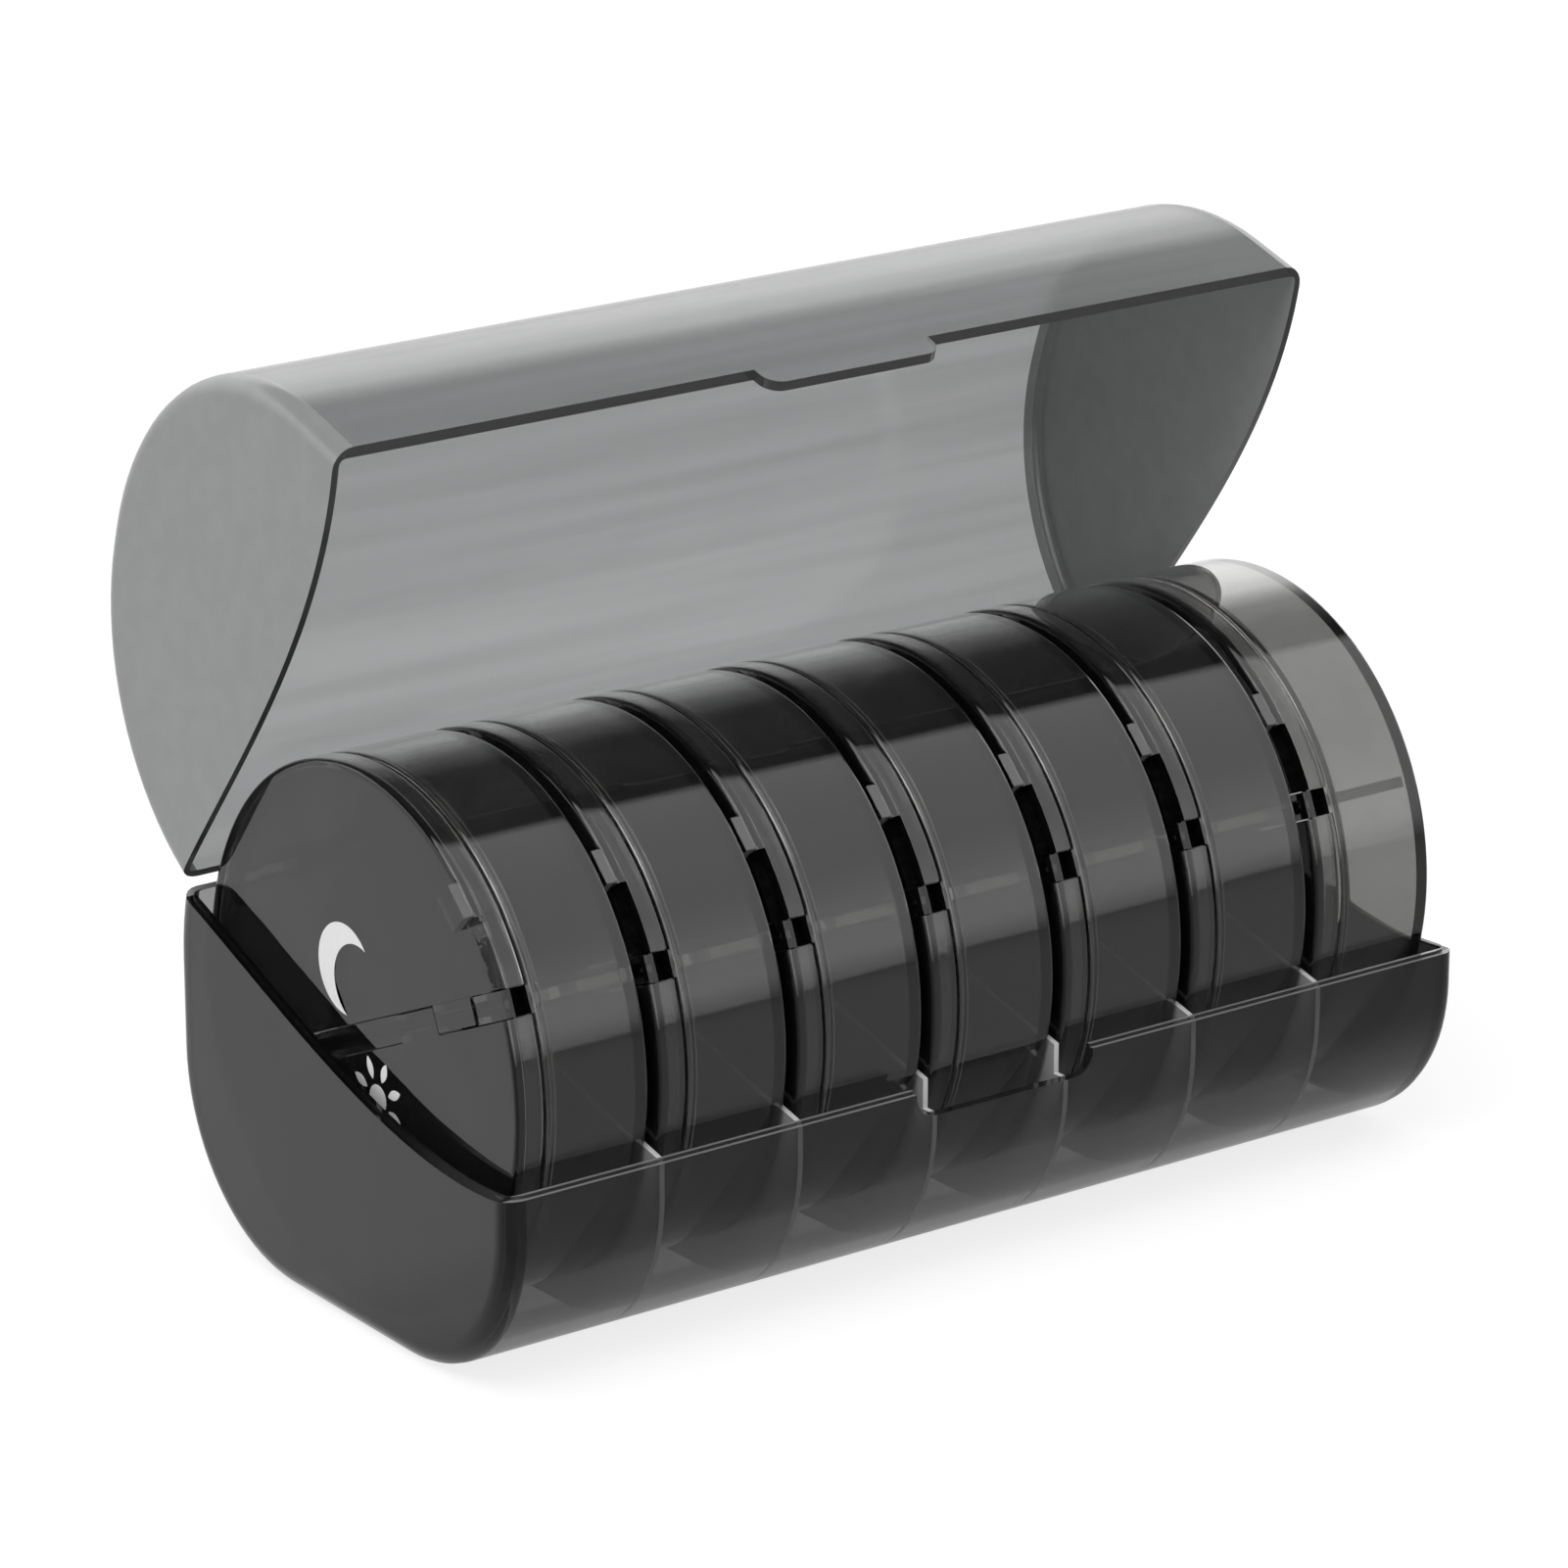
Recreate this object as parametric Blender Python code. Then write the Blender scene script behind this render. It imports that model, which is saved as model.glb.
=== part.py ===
"""A weekly pill organiser: a hinged case with a row of seven round boxes, each with a PM and an AM compartment.

Metres, +Z up. The row runs along X, the hinge is at the rear (+Y), and the origin is in the middle of the flat
underside. The case stands open, as it is used, with every box in its place.
"""

import math

import bmesh
import bpy
from mathutils import Matrix, Vector

# The round boxes
DAYS = 7
BOX_RADIUS = 0.0300
BOX_WIDTH = 0.0157
BOX_WALL = 0.0013
BOX_END = 0.0012
NECK_WALL = 0.0010
COLLAR = 0.0015
PARTITION = 0.0012
STRIP_TILT = math.radians(23.7)

# Their flaps, and the rod that both flaps turn on
FLAP_THICKNESS = 0.0012
SKIRT_DEPTH = 0.0031
SKIRT_WALL = 0.0009
FIT = 0.0003
BARREL_RADIUS = 0.0013
BARREL_INSET = 0.0001
BARREL_WEB_SHARE = 0.45
ROD_RADIUS = 0.0005
BAR_INSET = 0.0002
BARREL_END_SHARES = (0.28, 0.54, 0.80)
FINGER_TAB_REACH = 0.0012
FINGER_TAB_DEPTH = 0.0032
FINGER_TAB_LENGTH = 0.0040
FINGER_TAB_TURN = math.radians(22.5)

# How the boxes sit in the case
DIVIDER = 0.0010
SIDE_GAP = 0.0005
END_GAP = 0.0016
SEAT_GAP = 0.0003
FRONT_GAP = 0.0011
TOP_GAP = 0.0004

# The case
CASE_WALL = 0.0012
END_WALL = 0.0016
CASE_EDGE = 0.0014
HINGE_RISE = 0.0090
RIM_DROP = 0.0070
BASE_FRONT_SHARE = 0.62
BASE_REAR_SHARE = 0.67
LID_FRONT_SHARE = 0.97
LID_REAR_SHARE = 0.97
PARTING_SHARES = ((1.0, 1.0), (0.43, 0.33), (-0.34, -1.48), (-1.0, -1.0))
OPEN_ANGLE = math.radians(73.0)

# Its hinge and its latch
HINGE_PLACE_SHARE = 0.31
HINGE_OFFSET = 0.0004
KNUCKLE_RADIUS = 0.0019
KNUCKLE_LENGTH = 0.0060
KNUCKLE_GAP = 0.0004
PIN_RADIUS = 0.0008
PIN_INSET = 0.0003
LATCH_WIDTH = 0.0230
LATCH_DEPTH = 0.0030
LATCH_CORNER = 0.0022
LATCH_GAP = 0.0004

# How finely round shapes are made
BOX_SIDES = 40
ARC_STEPS = 8
PARTING_STEPS = 12
SMALL_SIDES = 12
CORNER_STEPS = 3

# Worked out from the sizes above
AXIS_HEIGHT = BOX_RADIUS + SEAT_GAP + CASE_WALL
PITCH = BOX_WIDTH + 2 * SIDE_GAP + DIVIDER
ROW_LENGTH = DAYS * BOX_WIDTH + (DAYS - 1) * (DIVIDER + 2 * SIDE_GAP)
HALF_INSIDE = ROW_LENGTH / 2 + END_GAP
HALF_LENGTH = HALF_INSIDE + END_WALL
HALF_WIDTH = BOX_RADIUS + FRONT_GAP + CASE_WALL
LID_TOP = BOX_RADIUS + TOP_GAP + CASE_WALL
LID_REAR_RADIUS = LID_REAR_SHARE * HALF_WIDTH
HINGE_REACH = HALF_WIDTH - LID_REAR_RADIUS + math.sqrt(
    LID_REAR_RADIUS**2 - (HINGE_RISE - LID_TOP + LID_REAR_RADIUS) ** 2
)
HINGE_AXIS = Vector((0, HINGE_REACH + HINGE_OFFSET, AXIS_HEIGHT + HINGE_RISE))
OVERRUN = CASE_WALL
ROD_DEPTH = BARREL_RADIUS + BARREL_INSET
ROD_BORE = ROD_RADIUS + FIT
NECK_OUTSIDE = BOX_RADIUS - SKIRT_WALL - FIT
NECK_INSIDE = NECK_OUTSIDE - NECK_WALL
FLAP_EDGE = BARREL_RADIUS + FIT
SHOULDER = SKIRT_DEPTH + FIT
BARREL_ENDS = [share * BOX_RADIUS for share in BARREL_END_SHARES]


def box_left_face(day):
    """The X of the flaps' outer face, on the box of this day, counted from 0."""
    return -ROW_LENGTH / 2 + day * PITCH


def make_material(name, colour, roughness, alpha=1.0, metallic=0.0):
    material = bpy.data.materials.new(name)
    material.use_nodes = True
    shader = material.node_tree.nodes["Principled BSDF"]
    shader.inputs["Base Color"].default_value = (*colour, 1.0)
    shader.inputs["Roughness"].default_value = roughness
    shader.inputs["Metallic"].default_value = metallic
    shader.inputs["Alpha"].default_value = alpha
    return material


def make_object(name, mesh, material=None):
    """An object from a bmesh, with its faces turned outwards and its round faces shaded smooth."""
    bmesh.ops.recalc_face_normals(mesh, faces=mesh.faces)
    data = bpy.data.meshes.new(name)
    mesh.to_mesh(data)
    mesh.free()
    if material:
        data.materials.append(material)
    piece = bpy.data.objects.new(name, data)
    bpy.context.scene.collection.objects.link(piece)
    return piece


def prism(outline, low, high, axis="X"):
    """A straight solid between two places on an axis. The outline's points are on the two other axes, in order."""
    mesh = bmesh.new()
    place = {"X": lambda a, b: (low, a, b), "Y": lambda a, b: (a, low, b)}[axis]
    face = mesh.faces.new([mesh.verts.new(place(a, b)) for a, b in outline])
    grown = bmesh.ops.extrude_face_region(mesh, geom=[face])["geom"]
    shift = Vector((high - low, 0, 0)) if axis == "X" else Vector((0, high - low, 0))
    moved = [item for item in grown if isinstance(item, bmesh.types.BMVert)]
    bmesh.ops.translate(mesh, verts=moved, vec=shift)
    return make_object("prism", mesh)


def block(low, high):
    """A rectangular solid between two opposite corners."""
    corners = [(low[1], low[2]), (high[1], low[2]), (high[1], high[2]), (low[1], high[2])]
    return prism(corners, low[0], high[0])


def lofted(rings):
    """A solid through closed rings of equally many points, with a flat face on the first and on the last."""
    mesh = bmesh.new()
    loops = [[mesh.verts.new(point) for point in ring] for ring in rings]
    for near, far in zip(loops, loops[1:]):
        for index, point in enumerate(near):
            mesh.faces.new((near[index - 1], point, far[index], far[index - 1]))
    mesh.faces.new(loops[0])
    mesh.faces.new(loops[-1])
    return make_object("lofted", mesh)


def turned(profile, sides):
    """A solid turned about the X axis from (x, radius) points that start and end on the axis."""
    mesh = bmesh.new()
    points = [mesh.verts.new((x, radius, 0)) for x, radius in profile]
    edges = [mesh.edges.new(pair) for pair in zip(points, points[1:])]
    bmesh.ops.spin(
        mesh, geom=points + edges, cent=(0, 0, 0), axis=(1, 0, 0), angle=2 * math.pi, steps=sides, use_merge=True
    )
    bmesh.ops.remove_doubles(mesh, verts=mesh.verts, dist=FIT / 100)
    return make_object("turned", mesh)


def rod(radius, low, high, centre=(0, 0), axis="X", sides=SMALL_SIDES):
    """A round bar along X or Y. The centre is its place on the two other axes."""
    outline = [
        (centre[0] + radius * math.cos(turn), centre[1] + radius * math.sin(turn))
        for turn in (2 * math.pi * (step + 0.5) / sides for step in range(sides))
    ]
    return prism(outline, low, high, axis)


def combine(piece, other, operation):
    """Cuts the other solid out of the piece, or joins it on, and removes the other."""
    modifier = piece.modifiers.new(operation, "BOOLEAN")
    modifier.operation = operation
    modifier.object = other
    graph = bpy.context.evaluated_depsgraph_get()
    old = piece.data
    piece.data = bpy.data.meshes.new_from_object(piece.evaluated_get(graph))
    piece.modifiers.clear()
    bpy.data.meshes.remove(old)
    bpy.data.objects.remove(other)


def cut(piece, *others):
    for other in others:
        combine(piece, other, "DIFFERENCE")


def join(piece, *others):
    for other in others:
        combine(piece, other, "UNION")


def finish(piece, name, material):
    """Names a piece, gives it its material and shades its round faces smooth."""
    piece.name = name
    piece.data.name = name
    piece.data.materials.clear()
    piece.data.materials.append(material)
    piece.data.shade_smooth()
    piece.data.set_sharp_from_angle(angle=math.radians(32))
    return piece


def shifted(outline, rise):
    return [(y, z + rise) for y, z in outline]


def corner(y, z, radius, start):
    """A quarter arc, anticlockwise from the start angle in degrees, about a centre."""
    turns = [math.radians(start + 90 * step / ARC_STEPS) for step in range(ARC_STEPS + 1)]
    return [(y + radius * math.cos(turn), z + radius * math.sin(turn)) for turn in turns]


def case_outline(inset):
    """The closed case from its end, this far inside its outer surface: four round corners, flat underneath."""
    wide = HALF_WIDTH
    outline = []
    for share, side, level, direction, start in (
        (LID_REAR_SHARE, 1, LID_TOP, -1, 0),
        (LID_FRONT_SHARE, -1, LID_TOP, -1, 90),
        (BASE_FRONT_SHARE, -1, -AXIS_HEIGHT, 1, 180),
        (BASE_REAR_SHARE, 1, -AXIS_HEIGHT, 1, 270),
    ):
        radius = share * wide
        outline += corner(side * (wide - radius), level + direction * radius, radius - inset, start)
    return shifted(outline, AXIS_HEIGHT)


def case_block():
    """The whole closed case as one solid, with the edges of its two ends rounded."""
    rings = []
    for step in range(CORNER_STEPS + 1):
        turn = math.pi / 2 * step / CORNER_STEPS
        place = HALF_LENGTH - CASE_EDGE * (1 - math.sin(turn))
        rings.append((place, case_outline(CASE_EDGE * (1 - math.cos(turn)))))
    places = [(-place, outline) for place, outline in reversed(rings)] + rings
    return lofted([[(place, y, z) for y, z in outline] for place, outline in places])


def parting_curve(rise):
    """The S-shaped line where lid and base meet, from the rear to the front, run on past both walls."""
    points = [
        Vector((HALF_WIDTH * across, up * (HINGE_RISE if up > 0 else RIM_DROP), 0)) for across, up in PARTING_SHARES
    ]
    curve = []
    for step in range(PARTING_STEPS + 1):
        t = step / PARTING_STEPS
        s = 1 - t
        curve.append(s**3 * points[0] + 3 * s * s * t * points[1] + 3 * s * t * t * points[2] + t**3 * points[3])
    beyond = [curve[0] + Vector((KNUCKLE_RADIUS + HINGE_OFFSET + OVERRUN, 0, 0))]
    ahead = [curve[-1] - Vector((OVERRUN, 0, 0))]
    return [(p.x, p.y + AXIS_HEIGHT + rise) for p in beyond + curve + ahead]


def parting_cutter(rise, level):
    """Everything between the parting line and a level above or below the case."""
    line = parting_curve(rise)
    outline = line + [(line[-1][0], level), (line[0][0], level)]
    return prism(outline, -HALF_LENGTH - OVERRUN, HALF_LENGTH + OVERRUN)


def latch_outline(growth):
    """The latch tab from the front, in X and Z, grown by a gap: round lower corners."""
    half = LATCH_WIDTH / 2 + growth
    radius = LATCH_CORNER + growth
    bottom = AXIS_HEIGHT - RIM_DROP - LATCH_DEPTH - growth
    outline = []
    for side, start in ((-1, 180), (1, 270)):
        for step in range(CORNER_STEPS + 1):
            turn = math.radians(start + 90 * step / CORNER_STEPS)
            outline.append((side * (half - radius) + radius * math.cos(turn), bottom + radius + radius * math.sin(turn)))
    top = AXIS_HEIGHT
    return outline + [(half, top), (-half, top)]


def latch_prism(growth):
    return prism(latch_outline(growth), -HALF_WIDTH - OVERRUN, -BOX_RADIUS, axis="Y")


def knuckles():
    """For each of the two hinges, the ends in X of its lid knuckle and of its two base knuckles."""
    for side in (-1, 1):
        middle = side * HINGE_PLACE_SHARE * 2 * HALF_LENGTH
        inner = KNUCKLE_LENGTH / 2
        outer = inner + KNUCKLE_GAP
        yield {
            "lid": [(middle - inner, middle + inner)],
            "base": [
                (middle - outer - KNUCKLE_LENGTH, middle - outer),
                (middle + outer, middle + outer + KNUCKLE_LENGTH),
            ],
        }


def add_hinge(shell, own, other):
    """Clears the shell's rear edge for the other shell's knuckles, adds its own ones and bores them."""
    centre = (HINGE_AXIS.y, HINGE_AXIS.z)
    for hinge in knuckles():
        for low, high in hinge[other]:
            room = KNUCKLE_RADIUS + KNUCKLE_GAP
            cut(shell, rod(room, low - KNUCKLE_GAP, high + KNUCKLE_GAP, centre))
        for low, high in hinge[own]:
            join(shell, rod(KNUCKLE_RADIUS, low, high, centre))
            cut(shell, rod(PIN_RADIUS + FIT, low - OVERRUN, high + OVERRUN, centre))


def pockets():
    """The seven spaces in the base, one for each box, with the dividers left between them."""
    for day in range(DAYS):
        low = box_left_face(day) - (END_GAP if day == 0 else SIDE_GAP)
        high = box_left_face(day) + BOX_WIDTH + (END_GAP if day == DAYS - 1 else SIDE_GAP)
        yield prism(case_outline(CASE_WALL), low, high)


def divider_trim():
    """What is cut off the dividers: all above a straight line from the front rim to the rear edge."""
    inside = HALF_WIDTH - CASE_WALL
    top = AXIS_HEIGHT + LID_TOP
    front = (-inside, AXIS_HEIGHT - RIM_DROP - FIT)
    rear = (inside, AXIS_HEIGHT + HINGE_RISE - FIT)
    return prism([front, rear, (inside, top), (-inside, top)], -HALF_INSIDE, HALF_INSIDE)


def make_base(material):
    base = case_block()
    cut(base, *pockets())
    cut(base, divider_trim())
    cut(base, parting_cutter(-FIT / 2, AXIS_HEIGHT + LID_TOP + OVERRUN))
    cut(base, latch_prism(LATCH_GAP))
    add_hinge(base, "base", "lid")
    return finish(base, "case_base", material)


def make_lid(material):
    """The lid is made shut and then turned open about the hinge, which is its origin."""
    lid = case_block()
    cut(lid, prism(case_outline(CASE_WALL), -HALF_INSIDE, HALF_INSIDE))
    below = parting_cutter(FIT / 2, -OVERRUN)
    cut(below, latch_prism(0))
    cut(lid, below)
    add_hinge(lid, "lid", "base")
    lid.data.transform(Matrix.Translation(-HINGE_AXIS))
    lid.location = HINGE_AXIS
    lid.rotation_euler.x = -OPEN_ANGLE
    return finish(lid, "case_lid", material)


def make_hinge_pins(material):
    for name, hinge in zip(("hinge_pin_left", "hinge_pin_right"), knuckles()):
        low = hinge["base"][0][0] + PIN_INSET
        high = hinge["base"][1][1] - PIN_INSET
        middle = (low + high) / 2
        pin = finish(rod(PIN_RADIUS, low - middle, high - middle), name, material)
        pin.location = HINGE_AXIS + Vector((middle, 0, 0))


def bar_outline(back):
    """The middle bar from its end, round at the front so that the flaps can swing past it."""
    turns = [math.pi * (step / SMALL_SIDES - 1 / 2) for step in range(SMALL_SIDES + 1)]
    nose = [(ROD_DEPTH - BARREL_RADIUS * math.cos(turn), BARREL_RADIUS * math.sin(turn)) for turn in turns]
    return nose + [(back, BARREL_RADIUS), (back, -BARREL_RADIUS)]


def box_body_mesh():
    """One round box, open on its left face, with its partition and its middle bar.

    Its local Y runs along the partition and its local Z towards the PM side. A notch behind each end of the bar
    shows the end of the rod.
    """
    right = BOX_WIDTH
    floor = BOX_WIDTH - BOX_END
    neck = FLAP_THICKNESS + FIT
    collar_end = SHOULDER + COLLAR
    inside = BOX_RADIUS - BOX_WALL
    body = turned(
        [
            (right, 0),
            (right, BOX_RADIUS),
            (SHOULDER, BOX_RADIUS),
            (SHOULDER, NECK_OUTSIDE),
            (neck, NECK_OUTSIDE),
            (neck, NECK_INSIDE),
            (collar_end, NECK_INSIDE),
            (collar_end, inside),
            (floor, inside),
            (floor, 0),
        ],
        BOX_SIDES,
    )
    reach = NECK_INSIDE + NECK_WALL / 2
    under = 2 * ROD_DEPTH + FIT
    half = PARTITION / 2
    join(body, block((under, -reach, -half), (floor + BOX_END / 2, reach, half)))
    outside = BOX_RADIUS - BAR_INSET
    first, last = BARREL_ENDS[0], BARREL_ENDS[-1]
    for low, high in ((-outside, -last), (-first, first), (last, outside)):
        join(body, prism(bar_outline(SHOULDER + COLLAR / 2), low, high, axis="Y"))
    for low, high in ((-BOX_RADIUS - OVERRUN, -NECK_INSIDE), (NECK_INSIDE, BOX_RADIUS + OVERRUN)):
        cut(body, block((FLAP_THICKNESS, low, -BARREL_RADIUS), (SKIRT_DEPTH, high, BARREL_RADIUS)))
    cut(body, rod(ROD_BORE, -BOX_RADIUS - OVERRUN, BOX_RADIUS + OVERRUN, (ROD_DEPTH, 0), axis="Y"))
    return body


def flap_mesh(side, has_tab):
    """A half lid with its skirt and two barrels, on the PM side (1) or the AM side (-1) of the rod.

    It is made in the box's own directions, with its origin on the rod.
    """
    flap = turned(
        [
            (0, 0),
            (0, BOX_RADIUS),
            (SKIRT_DEPTH, BOX_RADIUS),
            (SKIRT_DEPTH, BOX_RADIUS - SKIRT_WALL),
            (FLAP_THICKNESS, BOX_RADIUS - SKIRT_WALL),
            (FLAP_THICKNESS, 0),
        ],
        BOX_SIDES,
    )
    far = BOX_RADIUS + OVERRUN
    low, high = sorted((side * FLAP_EDGE, -side * far))
    cut(flap, block((-OVERRUN, -far, low), (SKIRT_DEPTH + OVERRUN, far, high)))
    inner, middle, outer = BARREL_ENDS
    ends = (middle + FIT / 2, outer - FIT) if side > 0 else (inner + FIT, middle - FIT / 2)
    for start, end in (ends, (-ends[1], -ends[0])):
        web = sorted((side * BARREL_RADIUS * BARREL_WEB_SHARE, side * (FLAP_EDGE + FIT)))
        barrel = rod(BARREL_RADIUS, start, end, (ROD_DEPTH, 0), axis="Y")
        join(barrel, block((BARREL_INSET + FIT / 2, start, web[0]), (FLAP_THICKNESS, end, web[1])))
        join(flap, barrel)
        cut(flap, rod(ROD_BORE, start - FIT / 2, end + FIT / 2, (ROD_DEPTH, 0), axis="Y"))
    if has_tab:
        half = FINGER_TAB_LENGTH / 2
        tab = block(
            (-FINGER_TAB_REACH, -BOX_RADIUS + BAR_INSET, -half),
            (FLAP_THICKNESS / 2, -BOX_RADIUS + FINGER_TAB_DEPTH, half),
        )
        tab.data.transform(Matrix.Rotation(-FINGER_TAB_TURN, 4, "X"))
        join(flap, tab)
    flap.data.transform(Matrix.Translation((-ROD_DEPTH, 0, 0)))
    return flap


def make_boxes(body_material, flap_material, rod_material):
    """Seven boxes in a row. Each stands on an empty at its left face, tilted as its strip is."""
    reach = NECK_INSIDE
    parts = {
        "day_box": (box_body_mesh(), 0, body_material),
        "flap_rod": (rod(ROD_RADIUS, -reach, reach, axis="Y"), ROD_DEPTH, rod_material),
        "pm_flap": (flap_mesh(1, True), ROD_DEPTH, flap_material),
        "am_flap": (flap_mesh(-1, False), ROD_DEPTH, flap_material),
    }
    for name, (pattern, depth, material) in parts.items():
        finish(pattern, name, material)
    for day in range(DAYS):
        seat = bpy.data.objects.new(f"box_seat_{day + 1}", None)
        seat.location = (box_left_face(day), 0, AXIS_HEIGHT)
        seat.rotation_euler.x = -STRIP_TILT
        bpy.context.scene.collection.objects.link(seat)
        for name, (pattern, depth, material) in parts.items():
            piece = bpy.data.objects.new(f"{name}_{day + 1}", pattern.data)
            piece.location.x = depth
            piece.parent = seat
            bpy.context.scene.collection.objects.link(piece)
    for pattern, depth, material in parts.values():
        bpy.data.objects.remove(pattern)


def main():
    for old in list(bpy.data.objects):
        bpy.data.objects.remove(old)
    case_plastic = make_material("smoke_case", (0.10, 0.10, 0.11), 0.12, alpha=0.55)
    lid_plastic = make_material("smoke_lid", (0.22, 0.22, 0.23), 0.12, alpha=0.45)
    box_plastic = make_material("smoke_box", (0.09, 0.09, 0.09), 0.10, alpha=0.50)
    flap_plastic = make_material("smoke_flap", (0.10, 0.10, 0.10), 0.10, alpha=0.55)
    steel = make_material("steel", (0.55, 0.55, 0.56), 0.30, metallic=1.0)
    make_base(case_plastic)
    make_lid(lid_plastic)
    make_hinge_pins(steel)
    make_boxes(box_plastic, flap_plastic, steel)


main()
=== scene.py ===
"""A weekly pill organiser in smoke-grey plastic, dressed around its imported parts.

Metres, +Z up. The row of seven round boxes runs along X and the hinge is at the rear (+Y).
"""

import math

import bmesh
import bpy
from mathutils import Matrix, Vector


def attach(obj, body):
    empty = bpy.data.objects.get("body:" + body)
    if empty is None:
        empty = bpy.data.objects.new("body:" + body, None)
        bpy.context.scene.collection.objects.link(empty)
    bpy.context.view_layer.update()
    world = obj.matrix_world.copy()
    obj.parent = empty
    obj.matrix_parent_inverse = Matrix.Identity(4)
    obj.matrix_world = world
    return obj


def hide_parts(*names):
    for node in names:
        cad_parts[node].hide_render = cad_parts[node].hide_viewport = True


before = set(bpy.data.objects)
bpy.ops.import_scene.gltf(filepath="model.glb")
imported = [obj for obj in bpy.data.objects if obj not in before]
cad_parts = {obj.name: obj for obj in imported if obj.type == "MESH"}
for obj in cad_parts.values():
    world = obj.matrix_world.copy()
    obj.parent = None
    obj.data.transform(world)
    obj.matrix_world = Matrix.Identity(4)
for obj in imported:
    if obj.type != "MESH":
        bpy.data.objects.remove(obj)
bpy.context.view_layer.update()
scene = bpy.context.scene

# The case lid is one thin moulding of clear smoke-grey styrene: a half shell with two end walls, a tab on its
# front edge that fills the notch in the base when shut, and one knuckle of each hinge. It stands open and
# leans back from the row. The outlines and cutters that it shares with the base are defined here.
half_length = 0.06415
half_width = 0.0323
axis_height = 0.0315
lid_top = 0.0316
case_wall = 0.0012
end_wall = 0.0016
lid_end_wall = 0.0008
case_edge = 0.0024
inner_edge = 0.0008
lid_corner = 0.97 * half_width
base_front_corner = 0.62 * half_width
base_rear_corner = 0.67 * half_width
hinge_rise = 0.0090
rim_drop = 0.0070
hinge_reach = 0.031461
hinge = Vector((0, hinge_reach, axis_height + hinge_rise))
open_angle = math.radians(73)
parting_gap = 0.0003
parting_shares = ((1.0, 1.0), (0.43, 0.33), (-0.34, -1.48), (-1.0, -1.0))
latch_half, latch_depth, latch_corner = 0.0115, 0.0030, 0.0022
latch_thickness = 0.0023
knuckle_radius, knuckle_length, knuckle_gap = 0.0019, 0.0060, 0.0004
knuckle_bore = 0.0011
knuckle_place = 0.31 * 2 * half_length
knuckle_clearance = 0.0016
overrun = 0.0012
weld = 2e-6
lid_softening = 0.00022
# Material slots: the clear walls, the end walls' painted shade, and the cut edges, painted as shade on the lid
# and as highlight on the base.
clear_wall, end_wall_shade, edge_shade_and_highlight = 0, 1, 2


def case_outline(inset, steps=22):
    """The closed case from its end as (y, z) points, this far inside its outer surface."""
    points = []
    for radius, side, level, direction, start in (
        (lid_corner, 1, lid_top, -1, 0),
        (lid_corner, -1, lid_top, -1, 90),
        (base_front_corner, -1, -axis_height, 1, 180),
        (base_rear_corner, 1, -axis_height, 1, 270),
    ):
        for step in range(steps + 1):
            turn = math.radians(start + 90 * step / steps)
            points.append(
                (
                    side * (half_width - radius) + (radius - inset) * math.cos(turn),
                    axis_height + level + direction * radius + (radius - inset) * math.sin(turn),
                )
            )
    return points


def to_object(name, mesh):
    """Closes off a bmesh as an object with its faces pointing outwards."""
    bmesh.ops.remove_doubles(mesh, verts=mesh.verts, dist=weld / 2)
    bmesh.ops.recalc_face_normals(mesh, faces=mesh.faces)
    data = bpy.data.meshes.new(name)
    mesh.to_mesh(data)
    mesh.free()
    piece = bpy.data.objects.new(name, data)
    scene.collection.objects.link(piece)
    return piece


def lofted(name, rings):
    """A closed solid through rings of equally many points."""
    mesh = bmesh.new()
    loops = [[mesh.verts.new(point) for point in ring] for ring in rings]
    for near, far in zip(loops, loops[1:]):
        for index, point in enumerate(near):
            mesh.faces.new((near[index - 1], point, far[index], far[index - 1]))
    mesh.faces.new(loops[0])
    mesh.faces.new(loops[-1])
    return to_object(name, mesh)


def rounded_block(name, low, high, inset, edge, steps=5):
    """The case's outline drawn out along X between two places, with the edges of both ends rounded."""
    rings = []
    for step in range(steps + 1):
        turn = math.pi / 2 * step / steps
        rings.append((edge * (1 - math.sin(turn)), case_outline(inset + edge * (1 - math.cos(turn)))))
    places = [(low + back, outline) for back, outline in reversed(rings)]
    places += [(high - back, outline) for back, outline in rings]
    return lofted(name, [[(place, y, z) for y, z in outline] for place, outline in places])


def drawn(name, outline, low, high, axis="X"):
    """An outline drawn out straight along X or Y."""
    if axis == "X":
        return lofted(name, [[(place, a, b) for a, b in outline] for place in (low, high)])
    return lofted(name, [[(a, place, b) for a, b in outline] for place in (low, high)])


def block(low, high):
    """A box between two opposite corners."""
    outline = [(low[1], low[2]), (high[1], low[2]), (high[1], high[2]), (low[1], high[2])]
    return drawn("block", outline, low[0], high[0])


def round_bar(radius, low, high, centre=(0, 0), axis="X", sides=32):
    """A round bar along X or Y, about a centre in the other two directions."""
    turns = [2 * math.pi * (step + 0.5) / sides for step in range(sides)]
    outline = [(centre[0] + radius * math.cos(turn), centre[1] + radius * math.sin(turn)) for turn in turns]
    return drawn("bar", outline, low, high, axis)


def combine(piece, operation, *others):
    """Cuts the other solids out of the piece, or joins them on."""
    for other in others:
        modifier = piece.modifiers.new("combine", "BOOLEAN")
        modifier.operation = operation
        modifier.solver = "EXACT"
        modifier.object = other
        graph = bpy.context.evaluated_depsgraph_get()
        old = piece.data
        piece.data = bpy.data.meshes.new_from_object(piece.evaluated_get(graph))
        piece.modifiers.clear()
        bpy.data.meshes.remove(old)
        bpy.data.objects.remove(other)
    return piece


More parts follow.
